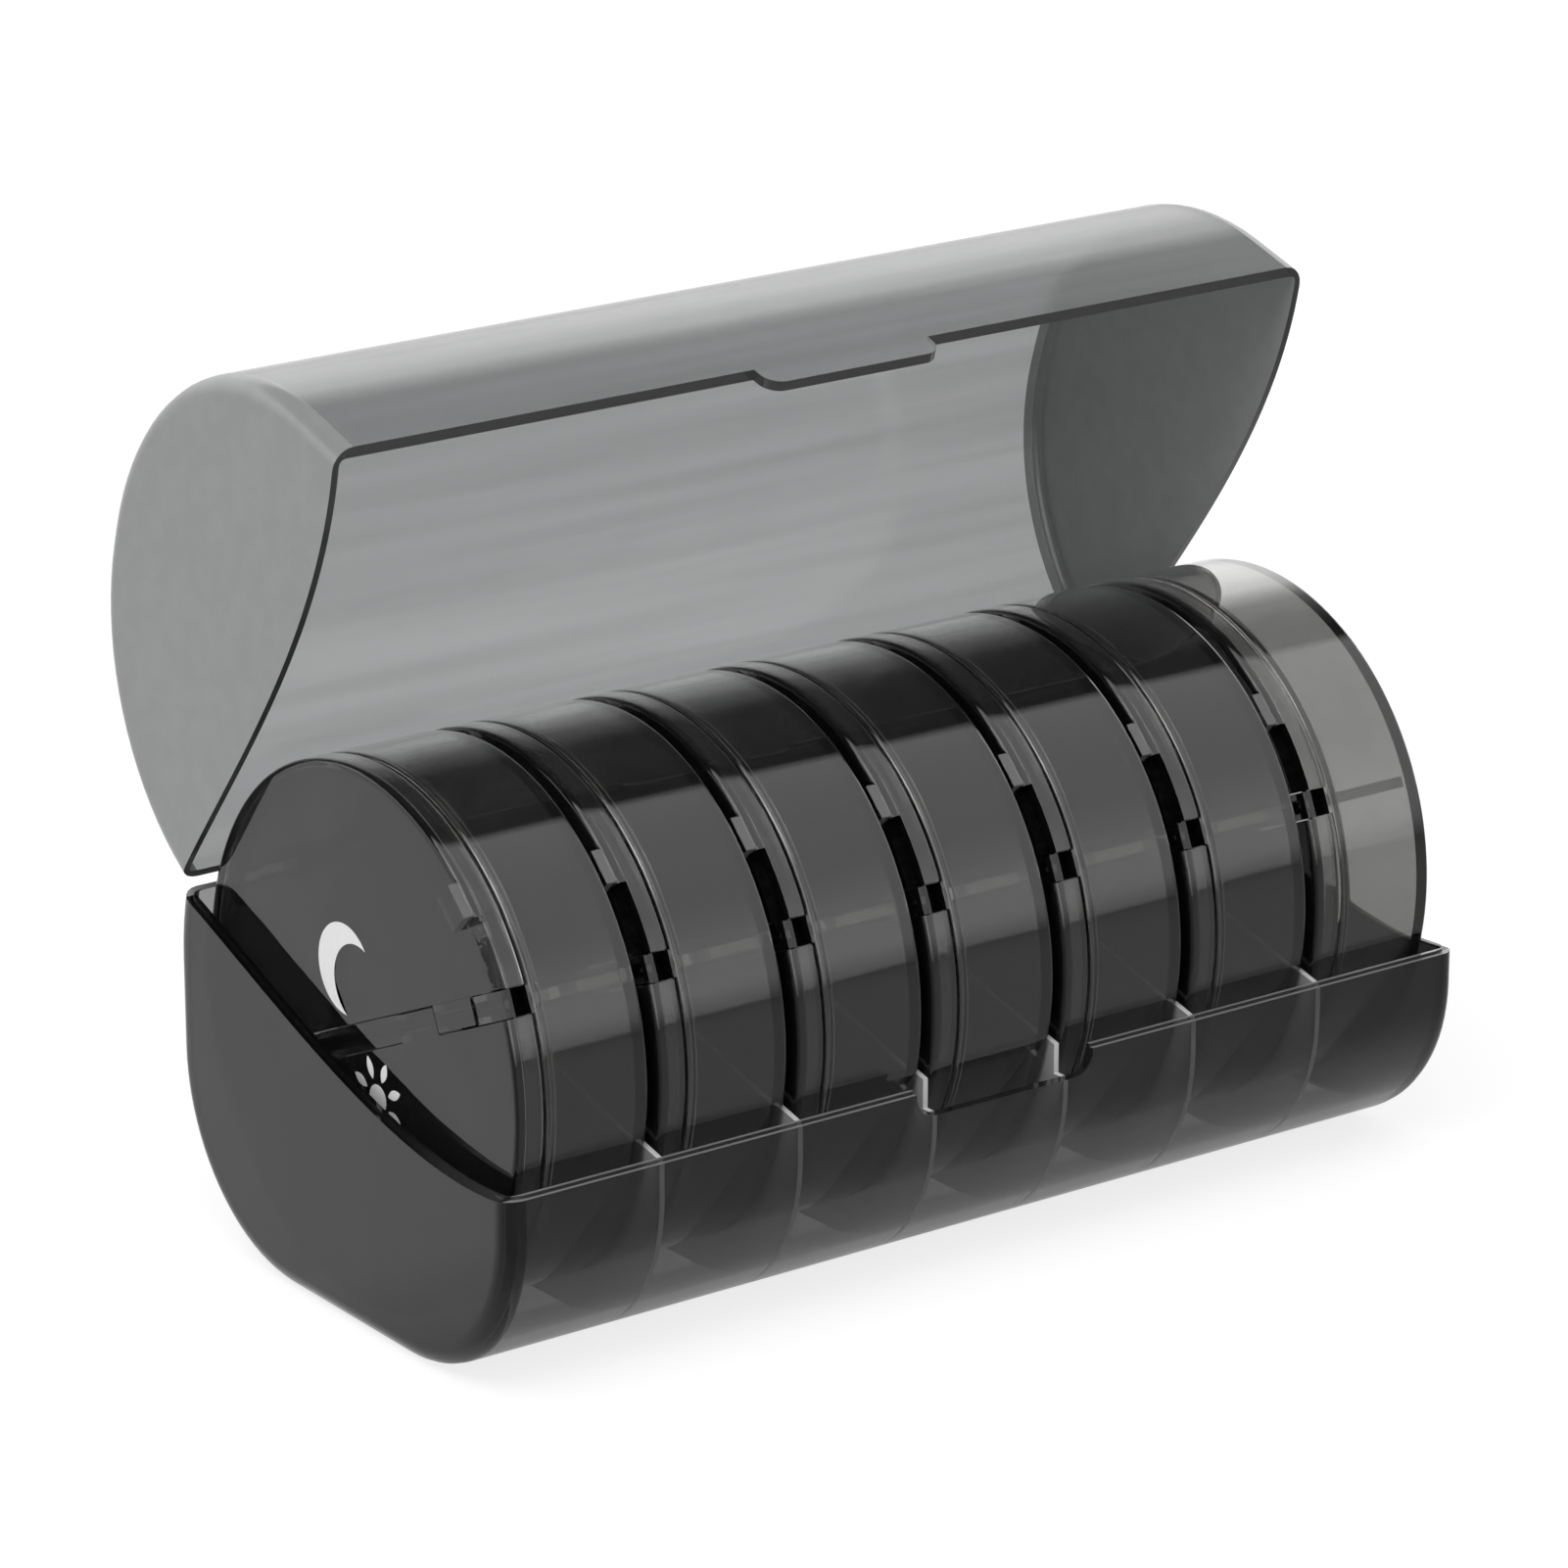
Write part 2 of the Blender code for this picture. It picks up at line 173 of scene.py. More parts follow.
def soften(piece, width, segments=2):
    """Rounds the sharp edges as a mould does, and shades the flat faces flat and the round ones round."""
    data = piece.data
    mesh = bmesh.new()
    mesh.from_mesh(data)
    bmesh.ops.remove_doubles(mesh, verts=mesh.verts, dist=weld)
    bmesh.ops.dissolve_degenerate(mesh, edges=mesh.edges, dist=weld)
    mesh.to_mesh(data)
    mesh.free()
    data.shade_smooth()
    bevel = piece.modifiers.new("edges", "BEVEL")
    bevel.width = width
    bevel.segments = segments
    bevel.limit_method = "ANGLE"
    bevel.angle_limit = math.radians(40)
    bevel.use_clamp_overlap = True
    bevel.miter_outer = "MITER_ARC"
    weighted = piece.modifiers.new("shading", "WEIGHTED_NORMAL")
    weighted.keep_sharp = False
    weighted.weight = 100
    return piece


def parting_line(rise, steps=48):
    """The S-shaped line where lid and base meet, from the rear to the front, run on past both walls."""
    ends = [
        Vector((half_width * across, up * (hinge_rise if up > 0 else rim_drop)))
        for across, up in parting_shares
    ]
    line = []
    for step in range(steps + 1):
        t = step / steps
        s = 1 - t
        line.append(s**3 * ends[0] + 3 * s * s * t * ends[1] + 3 * s * t * t * ends[2] + t**3 * ends[3])
    rear_end = line[0] + Vector((knuckle_radius + knuckle_clearance, 0))
    front_end = line[-1] - Vector((overrun, 0))
    return [(point.x, point.y + axis_height + rise) for point in [rear_end, *line, front_end]]


def marked(part, index):
    """Marks a cutter or an added part, so that the faces it leaves take the piece's material of this index."""
    for _ in range(index + 1):
        part.data.materials.append(None)
    for face in part.data.polygons:
        face.material_index = index
    return part


def beyond_parting(rise, level):
    """All that lies between the parting line, raised by this much, and a level above or below it."""
    line = parting_line(rise)
    outline = line + [(line[-1][0], level), (line[0][0], level)]
    return drawn("beyond_parting", outline, -half_length - overrun, half_length + overrun)


def latch_solid(growth, steps=8):
    """The latch tab, grown by a gap, as a solid across the front wall."""
    half, radius = latch_half + growth, latch_corner + growth
    centre = axis_height - rim_drop - latch_depth - growth + radius
    outline = []
    for side, start in ((-1, 180), (1, 270)):
        for step in range(steps + 1):
            turn = math.radians(start + 90 * step / steps)
            outline.append((side * (half - radius) + radius * math.cos(turn), centre + radius * math.sin(turn)))
    outline += [(half, axis_height), (-half, axis_height)]
    return drawn("latch", outline, -half_width - overrun, latch_thickness - half_width, axis="Y")


def add_knuckles(shell, own):
    """Clears the rear edge for the other half's knuckles and adds this half's own."""
    centre = (hinge.y, hinge.z)
    inner = knuckle_length / 2
    outer = inner + knuckle_gap
    for middle in (-knuckle_place, knuckle_place):
        spans = {
            "lid": [(middle - inner, middle + inner)],
            "base": [
                (middle - outer - knuckle_length, middle - outer),
                (middle + outer, middle + outer + knuckle_length),
            ],
        }
        other = "base" if own == "lid" else "lid"
        for low, high in spans[other]:
            room = knuckle_radius + knuckle_gap
            combine(shell, "DIFFERENCE", round_bar(room, low - knuckle_gap, high + knuckle_gap, centre))
        for low, high in spans[own]:
            combine(shell, "UNION", round_bar(knuckle_radius, low, high, centre))
            combine(shell, "DIFFERENCE", round_bar(knuckle_bore, low - overrun, high + overrun, centre))


def smoke_plastic(name, tint, body, roughness, ripple=0.06, streaks=0.03):
    """Clear grey plastic with a share of body colour, flow streaks along X, a mould's ripple and smudges."""
    material = bpy.data.materials.new(name)
    material.use_nodes = True
    tree = material.node_tree
    shader = tree.nodes["Principled BSDF"]
    shader.inputs["Transmission Weight"].default_value = 1 - body
    shader.inputs["Roughness"].default_value = roughness
    shader.inputs["IOR"].default_value = 1.49
    shader.inputs["Specular IOR Level"].default_value = 0.5
    place = tree.nodes.new("ShaderNodeTexCoord")
    stretch = tree.nodes.new("ShaderNodeMapping")
    stretch.inputs["Scale"].default_value = (0.35, 1.0, 1.0)
    ripples = tree.nodes.new("ShaderNodeTexNoise")
    ripples.inputs["Scale"].default_value = 70
    ripples.inputs["Detail"].default_value = 1.5
    bump = tree.nodes.new("ShaderNodeBump")
    bump.inputs["Strength"].default_value = ripple
    bump.inputs["Distance"].default_value = 0.002
    tree.links.new(place.outputs["Object"], stretch.inputs["Vector"])
    tree.links.new(stretch.outputs["Vector"], ripples.inputs["Vector"])
    tree.links.new(ripples.outputs["Fac"], bump.inputs["Height"])
    tree.links.new(bump.outputs["Normal"], shader.inputs["Normal"])
    flow = tree.nodes.new("ShaderNodeMapping")
    flow.inputs["Scale"].default_value = (0.03, 1.0, 1.0)
    bands = tree.nodes.new("ShaderNodeTexNoise")
    bands.inputs["Scale"].default_value = 350
    bands.inputs["Detail"].default_value = 2
    shade = tree.nodes.new("ShaderNodeValToRGB")
    deep, pale = shade.color_ramp.elements
    for element, position, share in ((deep, 0.35, 1 - streaks), (pale, 0.65, 1 + streaks)):
        element.position = position
        element.color = (*(part * share for part in tint), 1)
    tree.links.new(place.outputs["Object"], flow.inputs["Vector"])
    tree.links.new(flow.outputs["Vector"], bands.inputs["Vector"])
    tree.links.new(bands.outputs["Fac"], shade.inputs["Fac"])
    tree.links.new(shade.outputs["Color"], shader.inputs["Base Color"])
    smudges = tree.nodes.new("ShaderNodeTexNoise")
    smudges.inputs["Scale"].default_value = 160
    smudges.inputs["Detail"].default_value = 3
    gloss = tree.nodes.new("ShaderNodeMapRange")
    gloss.inputs["From Min"].default_value = 0.45
    gloss.inputs["From Max"].default_value = 0.75
    gloss.inputs["To Min"].default_value = roughness
    gloss.inputs["To Max"].default_value = roughness + 0.02
    tree.links.new(place.outputs["Object"], smudges.inputs["Vector"])
    tree.links.new(smudges.outputs["Fac"], gloss.inputs["Value"])
    tree.links.new(gloss.outputs["Result"], shader.inputs["Roughness"])
    return material


def mark_ends(shell):
    """Gives the end walls and their rounded edges a darker, less clear copy of the plastic: painted shade."""
    for face in shell.data.polygons:
        place, facing = abs(face.center.x), abs(face.normal.x)
        rounded = place > half_length - case_edge and facing > 0.02
        flat = place > half_length - 2 * end_wall and facing > 0.99
        if face.material_index == clear_wall and (rounded or flat):
            face.material_index = end_wall_shade


lid = rounded_block("lid_shell", -half_length, half_length, 0, case_edge)
lid.data.materials.append(smoke_plastic("lid_smoke", (0.52, 0.525, 0.53), 0.22, 0.10, streaks=0.08))
# The end walls take a darker, more opaque copy of the lid's plastic: painted shade.
lid.data.materials.append(smoke_plastic("lid_end_shade_smoke", (0.35, 0.355, 0.355), 0.80, 0.10))
# The cut edges of the lid's walls take a near-black copy of the plastic: a painted dark line of shade along its
# rim.
lid.data.materials.append(smoke_plastic("lid_edge_shade_smoke", (0.10, 0.10, 0.10), 0.40, 0.10))
inside = half_length - case_wall
lid_inside = half_length - lid_end_wall
combine(lid, "DIFFERENCE", rounded_block("hollow", -lid_inside, lid_inside, case_wall, inner_edge))
below = beyond_parting(parting_gap / 2, -overrun)
combine(below, "DIFFERENCE", latch_solid(0))
combine(lid, "DIFFERENCE", marked(below, edge_shade_and_highlight))
add_knuckles(lid, "lid")
mark_ends(lid)
opened = Matrix.Rotation(-open_angle, 4, "X")
lid.data.transform(Matrix.Translation(hinge) @ opened @ Matrix.Translation(-hinge))
soften(lid, lid_softening)
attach(lid, "lid")
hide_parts("case_lid")

# The case base is moulded in the same plastic with more dye. Its rim is stepped in, follows the lid's edge and
# has a notch for the lid's tab. Six thin dividers, moulded with it, stand across it and are trimmed along a
# straight line from the front rim to the rear edge.
days = 7
box_width = 0.0157
divider = 0.0010
side_gap = 0.0005
divider_sheet, divider_sink = 0.00065, 0.0001
rebate_depth, rebate_width = 0.0004, 0.0006
rear_drop = 0.0009
latch_gap = 0.0004
hair = 1e-5
base_softening, divider_softening = 0.00020, 0.00012
pitch = box_width + 2 * side_gap + divider
row_length = days * box_width + (days - 1) * (divider + 2 * side_gap)


def repeat_tree():
    """Geometry Nodes: the piece that comes in, repeated in a straight row along X."""
    tree = bpy.data.node_groups.new("repeat along the row", "GeometryNodeTree")
    tree.interface.new_socket("Geometry", in_out="INPUT", socket_type="NodeSocketGeometry")
    tree.interface.new_socket("Count", in_out="INPUT", socket_type="NodeSocketInt")
    tree.interface.new_socket("Pitch", in_out="INPUT", socket_type="NodeSocketFloat")
    tree.interface.new_socket("Material", in_out="INPUT", socket_type="NodeSocketMaterial")
    tree.interface.new_socket("Geometry", in_out="OUTPUT", socket_type="NodeSocketGeometry")
    given = tree.nodes.new("NodeGroupInput")
    offset = tree.nodes.new("ShaderNodeCombineXYZ")
    line = tree.nodes.new("GeometryNodeMeshLine")
    copies = tree.nodes.new("GeometryNodeInstanceOnPoints")
    real = tree.nodes.new("GeometryNodeRealizeInstances")
    finish = tree.nodes.new("GeometryNodeSetMaterial")
    result = tree.nodes.new("NodeGroupOutput")
    tree.links.new(given.outputs["Count"], line.inputs["Count"])
    tree.links.new(given.outputs["Pitch"], offset.inputs["X"])
    tree.links.new(offset.outputs["Vector"], line.inputs["Offset"])
    tree.links.new(line.outputs["Mesh"], copies.inputs["Points"])
    tree.links.new(given.outputs["Geometry"], copies.inputs["Instance"])
    tree.links.new(copies.outputs["Instances"], real.inputs["Geometry"])
    tree.links.new(real.outputs["Geometry"], finish.inputs["Geometry"])
    tree.links.new(given.outputs["Material"], finish.inputs["Material"])
    tree.links.new(finish.outputs["Geometry"], result.inputs["Geometry"])
    return tree


def grown(piece, tree, **inputs):
    """Runs the piece through a Geometry Nodes tree and keeps the result as a plain mesh."""
    modifier = piece.modifiers.new("grow", "NODES")
    modifier.node_group = tree
    sockets = {item.name: item.identifier for item in tree.interface.items_tree if item.in_out == "INPUT"}
    for name, value in inputs.items():
        modifier[sockets[name]] = value
    graph = bpy.context.evaluated_depsgraph_get()
    old = piece.data
    piece.data = bpy.data.meshes.new_from_object(piece.evaluated_get(graph))
    piece.modifiers.remove(modifier)
    bpy.data.meshes.remove(old)
    return piece


base = rounded_block("base_shell", -half_length, half_length, 0, case_edge)
base.data.materials.append(smoke_plastic("base_smoke", (0.34, 0.34, 0.34), 0.02, 0.03, 0.03))
# The end walls take a near-black copy of the base's plastic: painted shade.
base.data.materials.append(smoke_plastic("base_end_shade_smoke", (0.03, 0.03, 0.03), 0.10, 0.06))
# The base's cut rim and its stepped-in edge take a paler, less clear copy of the plastic: a painted highlight
# along the rim.
base.data.materials.append(smoke_plastic("base_rim_highlight_smoke", (0.45, 0.45, 0.45), 0.60, 0.10))
combine(base, "DIFFERENCE", rounded_block("hollow", -inside, inside, case_wall, inner_edge))
inner_half = half_width - case_wall
top = axis_height + lid_top
slope = (hinge_rise - rear_drop + rim_drop) / (2 * inner_half)
trim = [
    (-half_width, axis_height - rim_drop - parting_gap - slope * case_wall),
    (half_width, axis_height + hinge_rise - rear_drop - parting_gap + slope * case_wall),
    (half_width, top),
    (-half_width, top),
]
# The dividers take a much paler, less clear copy of the base's plastic, and their edges a paler one still:
# painted highlight.
divider_highlight_smoke = smoke_plastic("divider_highlight_smoke", (0.72, 0.72, 0.72), 0.45, 0.06)
divider_edge_highlight_smoke = smoke_plastic("divider_edge_highlight_smoke", (0.90, 0.90, 0.90), 0.70, 0.06)
first_divider = -row_length / 2 + box_width + side_gap
foot = case_outline(case_wall - divider_sink)
sheet = drawn("base_dividers", foot, first_divider, first_divider + divider_sheet)
combine(sheet, "DIFFERENCE", drawn("trim", trim, -inside, inside))
dividers = grown(sheet, repeat_tree(), Count=days - 1, Pitch=pitch, Material=divider_highlight_smoke)
combine(base, "DIFFERENCE", marked(beyond_parting(-parting_gap / 2, top + overrun), edge_shade_and_highlight))
rebate = marked(beyond_parting(-parting_gap / 2 - rebate_depth, top + overrun), edge_shade_and_highlight)
core_half = half_length - rebate_width
combine(rebate, "DIFFERENCE", rounded_block("core", -core_half, core_half, rebate_width, case_edge))
combine(base, "DIFFERENCE", rebate)
for piece in (base, dividers):
    combine(piece, "DIFFERENCE", latch_solid(latch_gap))
add_knuckles(base, "base")
mark_ends(base)
# Where the parting cut runs through the end walls, its faces take the end walls' painted shade too.
for face in base.data.polygons:
    if face.material_index == edge_shade_and_highlight and abs(face.center.x) > inside - hair:
        face.material_index = end_wall_shade
dividers.data.materials.clear()
dividers.data.materials.append(divider_highlight_smoke)
dividers.data.materials.append(divider_edge_highlight_smoke)
# Faces that do not face along the row are the divider edges, which take the paler painted highlight.
for face in dividers.data.polygons:
    face.material_index = int(abs(face.normal.x) < 0.5)
soften(dividers, divider_softening)
soften(base, base_softening)
for piece in (base, dividers):
    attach(piece, "case")
    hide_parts("case_base")

# The round boxes are moulded cups with an open left face. A partition splits each into an evening and a morning
# half, and a bar along its edge carries the flaps' rod. A box is made with Y along the partition and Z to the
# evening side, and is then turned and set in its seat.
radius = 0.0300
box_wall, box_end, neck_wall, collar, partition = 0.0013, 0.0012, 0.0010, 0.0015, 0.0012
strip_tilt = math.radians(23.7)
flap_thickness, skirt_depth, skirt_wall, fit = 0.0012, 0.0031, 0.0009, 0.0003
barrel_radius, rod_depth, rod_bore = 0.0013, 0.0014, 0.0008
barrel_end_shares = (0.28, 0.54, 0.80)
barrel_ends = [share * radius for share in barrel_end_shares]
neck_outside = radius - skirt_wall - fit
neck_inside = neck_outside - neck_wall
shoulder = skirt_depth + fit
box_sides = 144
mould_round = 0.0001
box_back = box_width + 0.0004
strip_half, strip_face = 0.00148, 0.0001
bar_end = radius - 0.0002
notch_half = strip_half + 0.00002
box_softening = 0.00012


def turned(name, profile, steps=3):
    """A solid turned about X. Each profile point is x, radius and its rounding, in moulded roundings."""
    points = []
    for index, (x, out, roundings) in enumerate(profile):
        here = Vector((x, out))
        if roundings == 0:
            points.append(here)
            continue
        before = (Vector(profile[index - 1][:2]) - here).normalized()
        after = (Vector(profile[index + 1][:2]) - here).normalized()
        rounding = roundings * mould_round
        near, far = here + before * rounding, here + after * rounding
        for step in range(steps + 1):
            t = step / steps
            points.append((1 - t) ** 2 * near + 2 * t * (1 - t) * here + t * t * far)
    mesh = bmesh.new()
    loops = []
    turns = [2 * math.pi * step / box_sides for step in range(box_sides)]
    for point in points:
        if point.y == 0:
            loops.append([mesh.verts.new((point.x, 0, 0))] * box_sides)
            continue
        ring = [(point.x, point.y * math.cos(turn), point.y * math.sin(turn)) for turn in turns]
        loops.append([mesh.verts.new(place) for place in ring])
    for near, far in zip(loops, loops[1:]):
        for index in range(box_sides):
            corners = dict.fromkeys((near[index - 1], near[index], far[index], far[index - 1]))
            mesh.faces.new(list(corners))
    return to_object(name, mesh)


cup = turned(
    "cup",
    [
        (box_back, 0, 0),
        (box_back, radius, 5),
        (shoulder, radius, 4),
        (shoulder, neck_outside, 1),
        (flap_thickness + fit, neck_outside, 2),
        (flap_thickness + fit, neck_inside, 2),
        (shoulder + collar, neck_inside, 3),
        (shoulder + collar, radius - box_wall, 3),
        (box_back - box_end, radius - box_wall, 0),
        (box_back - box_end, 0, 0),
    ],
)


def plain_finish(name, grey, spread, scale, roughness, gloss=0.5, metal=0.0, stretch=(1, 1, 1), wear=0.1):
    """An opaque grey whose tone and roughness vary a little with a noise of this scale."""
    material = bpy.data.materials.new(name)
    material.use_nodes = True
    tree = material.node_tree
    shader = tree.nodes["Principled BSDF"]
    shader.inputs["Metallic"].default_value = metal
    shader.inputs["Specular IOR Level"].default_value = gloss
    place = tree.nodes.new("ShaderNodeTexCoord")
    drawn_out = tree.nodes.new("ShaderNodeMapping")
    drawn_out.inputs["Scale"].default_value = stretch
    grain = tree.nodes.new("ShaderNodeTexNoise")
    grain.inputs["Scale"].default_value = scale
    grain.inputs["Detail"].default_value = 3
    shade = tree.nodes.new("ShaderNodeValToRGB")
    low, high = shade.color_ramp.elements
    for element, position, tone in ((low, 0.3, grey - spread), (high, 0.7, grey + spread)):
        element.position = position
        element.color = (tone, tone, tone, 1)
    worn = tree.nodes.new("ShaderNodeMapRange")
    worn.inputs["To Min"].default_value = roughness - wear
    worn.inputs["To Max"].default_value = roughness + wear
    bump = tree.nodes.new("ShaderNodeBump")
    bump.inputs["Strength"].default_value = 0.05
    bump.inputs["Distance"].default_value = 0.0005
    tree.links.new(place.outputs["Object"], drawn_out.inputs["Vector"])
    tree.links.new(drawn_out.outputs["Vector"], grain.inputs["Vector"])
    tree.links.new(grain.outputs["Fac"], shade.inputs["Fac"])
    tree.links.new(shade.outputs["Color"], shader.inputs["Base Color"])
    tree.links.new(grain.outputs["Fac"], worn.inputs["Value"])
    tree.links.new(worn.outputs["Result"], shader.inputs["Roughness"])
    tree.links.new(grain.outputs["Fac"], bump.inputs["Height"])
    tree.links.new(bump.outputs["Normal"], shader.inputs["Normal"])
    return material


# A near-black matt finish for the notches by the bar and the recesses by the tabs: painted shade.
painted_shade = plain_finish("notch_and_recess_shade", 0.004, 0.002, 900, 0.7, gloss=0.0)
flap_smoke = smoke_plastic("flap_smoke", (0.06, 0.06, 0.06), 0.06, 0.03)
box_smoke = smoke_plastic("box_smoke", (0.50, 0.50, 0.49), 0.01, 0.03, 0.10)
box_smoke.node_tree.nodes["Principled BSDF"].inputs["Coat Weight"].default_value = 1.0
# The bar's end faces at the rim take a paler, more diffuse copy of the dark plastic, so that these shaded faces
# still show light: painted light.
bar_end_lit_smoke = smoke_plastic("bar_end_lit_smoke", (0.20, 0.20, 0.20), 0.14, 0.05)
cup_body, cup_notch, cup_strip, cup_bar_end = 0, 1, 2, 3
for material in (box_smoke, painted_shade, flap_smoke, bar_end_lit_smoke):
    cup.data.materials.append(material)
reach = neck_inside + neck_wall / 2
partition_end = box_back - box_end / 2
wall = block((2 * rod_depth + fit, -reach, -partition / 2), (partition_end, reach, partition / 2))
combine(cup, "UNION", wall)
back = shoulder + collar / 2
bar_middle, _, bar_outer = barrel_ends
for low, high in ((-bar_end, -bar_outer), (-bar_middle, bar_middle), (bar_outer, bar_end)):
    combine(cup, "UNION", block((strip_face, low, -strip_half), (back, high, strip_half)))
# The notches' faces take the painted shade.
for low, high in ((-radius - overrun, -neck_inside), (neck_inside, radius + overrun)):
    notch = block((flap_thickness, low, -notch_half), (skirt_depth, high, notch_half))
    combine(cup, "DIFFERENCE", marked(notch, cup_notch))
combine(cup, "DIFFERENCE", round_bar(rod_bore, -reach - fit, reach + fit, (rod_depth, 0), "Y"))
for face in cup.data.polygons:
    middle = face.center
    in_slot = abs(middle.z) < notch_half + hair and abs(middle.y) < bar_end + hair
    if face.material_index == cup_body and in_slot and middle.x < skirt_depth:
        face.material_index = cup_bar_end if abs(middle.y) > bar_end - hair else cup_strip


def seat(day):
    """From a box's own directions, about the middle of its left face, to its place in the row."""
    place = Matrix.Translation((-row_length / 2 + (day - 1) * pitch, 0, axis_height))
    return place @ Matrix.Rotation(-strip_tilt, 4, "X")


def place_in_row(pattern, name, day, softening=0.0):
    """A copy of the pattern in its day's seat, with its edges softened by this much."""
    piece = bpy.data.objects.new(f"{name}_{day}", pattern.data.copy())
    piece.data.transform(seat(day))
    scene.collection.objects.link(piece)
    if softening:
        soften(piece, softening)
    return piece


for day in range(1, days + 1):
    piece = place_in_row(cup, "box_cup", day, box_softening)
    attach(piece, f"box_{day}")
    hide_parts(f"day_box_{day}")
bpy.data.objects.remove(cup)

# Two flaps close each box: moulded half discs with a skirt that grips the neck and small barrels that turn on
# the rod. The evening flap has a finger tab at its front edge, with a recess beside it for the fingertip.
flap_edge = barrel_radius + fit
face_out = 0.00025
seam, barrel_half = 0.0001, 0.00138
flap_softening = 0.00010
tab_half, tab_reach, tab_inset, tab_depth = 0.0020, 0.0012, 0.0002, 0.0032
tab_turn = math.radians(22.5)
recess_start, recess_end, recess_steps = -2, 18.2, 12
recess_depth, recess_floor = 0.0010, 0.0284
# The tab takes a paler, less clear copy of the flap's plastic: a painted highlight. Its outer face keeps the
# flap's plastic.
tab_highlight_smoke = smoke_plastic("tab_highlight_smoke", (0.45, 0.45, 0.45), 0.30, 0.10)
flap_face, flap_skirt, flap_tab, flap_recess = 0, 1, 2, 3


def make_flap(side):
    """The flap of the evening side (1) or the morning side (-1), in the box's own directions."""
    flap = turned(
        "flap",
        [
            (-face_out, 0, 0),
            (-face_out, radius, 7),
            (skirt_depth, radius, 3),
            (skirt_depth, radius - skirt_wall, 1),
            (flap_thickness, radius - skirt_wall, 3),
            (flap_thickness, 0, 0),
        ],
    )
    for material in (flap_smoke, box_smoke, tab_highlight_smoke, painted_shade):
        flap.data.materials.append(material)
    far = radius + overrun
    low, high = sorted((side * flap_edge, -side * far))
    combine(flap, "DIFFERENCE", block((-overrun, -far, low), (skirt_depth + overrun, far, high)))
    inner, middle, outer = barrel_ends
    start, end = (middle + seam / 2, outer - seam) if side > 0 else (inner + seam, middle - seam / 2)
    low, high = sorted((-side * barrel_half, side * (flap_edge + fit)))
    for start, end in ((start, end), (-end, -start)):
        barrel = block((strip_face - face_out, start, low), (2 * rod_depth - strip_face, end, high))
        bore = round_bar(rod_bore, start - fit / 2, end + fit / 2, (rod_depth, 0), "Y")
        combine(flap, "UNION", barrel)
        combine(flap, "DIFFERENCE", bore)
    if side > 0:
        tab_start, tab_end = tab_inset - radius, tab_depth - radius
        tab = block((-tab_reach, tab_start, -tab_half), (flap_thickness / 2, tab_end, tab_half))
        tab.data.transform(Matrix.Rotation(-tab_turn, 4, "X"))
        for face in marked(tab, flap_tab).data.polygons:
            if face.normal.x < -0.5:
                face.material_index = flap_face
        combine(flap, "UNION", tab)
        # The recess's faces take the notches' painted shade.
        spread = [recess_end * step / recess_steps + recess_start for step in range(recess_steps)]
        turns = [math.radians(turn) for turn in [*spread, recess_end]]
        outline = [(-far * math.cos(turn), far * math.sin(turn)) for turn in turns]
        outline += [(-recess_floor * math.cos(turn), recess_floor * math.sin(turn)) for turn in reversed(turns)]
        recess = drawn("recess", outline, -overrun, recess_depth)
        combine(flap, "DIFFERENCE", marked(recess, flap_recess))
    for face in flap.data.polygons:
        if face.material_index == flap_face and abs(face.normal.x) < 0.7:
            on_skirt = Vector(face.center[1:]).length > radius - 2 * skirt_wall
            face.material_index = flap_skirt if on_skirt else flap_face
    return flap


for side, prefix, node in ((1, "pm", "pm_flap"), (-1, "am", "am_flap")):
    pattern = make_flap(side)
    for day in range(1, days + 1):
        piece = place_in_row(pattern, f"{prefix}_half", day, flap_softening)
        # On the first box, with no neighbour beside its recess, the recess keeps the clear plastic and has no
        # painted shade.
        if day == 1:
            piece.data.materials[flap_recess] = box_smoke
        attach(piece, f"{prefix}_{day}")
        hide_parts(f"{node}_{day}")
    bpy.data.objects.remove(pattern)

# The marks are pad-printed in white on the flaps' outer faces: a crescent for the evening half and a sun with
# eight rays for the morning half, both near the bar between the flaps.
print_height, print_sink_share = 0.00003, 1 / 6
moon_centre, moon_radius, moon_steps = Vector((-0.0006, 0.0074)), 0.0051, 48
bite_centre, bite_radius, bite_steps = Vector((-0.0024, 0.0054)), 0.0045, 36
sun_centre, sun_radius, sun_sides = (-0.0010, -0.0067), 0.0016, 45
sun_rays, ray_inner, ray_outer, ray_half, ray_steps = 8, 0.0022, 0.0047, 0.00055, 12
ink = plain_finish("white_ink", 0.95, 0.02, 1500, 0.5)


def printed(outlines):
    """Thin solid prints from outlines of (y, z) points on the flaps' outer face."""
    mesh = bmesh.new()
    for outline in outlines:
        near = [mesh.verts.new((-face_out - print_height, y, z)) for y, z in outline]
        far = [mesh.verts.new((-face_out - print_height * print_sink_share, y, z)) for y, z in outline]
        for index in range(len(near)):
            mesh.faces.new((near[index - 1], near[index], far[index], far[index - 1]))
        mesh.faces.new(near)
        mesh.faces.new(far)
    bmesh.ops.triangulate(mesh, faces=[face for face in mesh.faces if len(face.verts) > 4])
    return to_object("print", mesh)


def arc_points(centre, size, start, end, steps):
    """Points on an arc, from one angle in degrees to another."""
    turns = [math.radians(start + (end - start) * step / steps) for step in range(steps + 1)]
    return [(centre[0] + size * math.cos(turn), centre[1] + size * math.sin(turn)) for turn in turns]


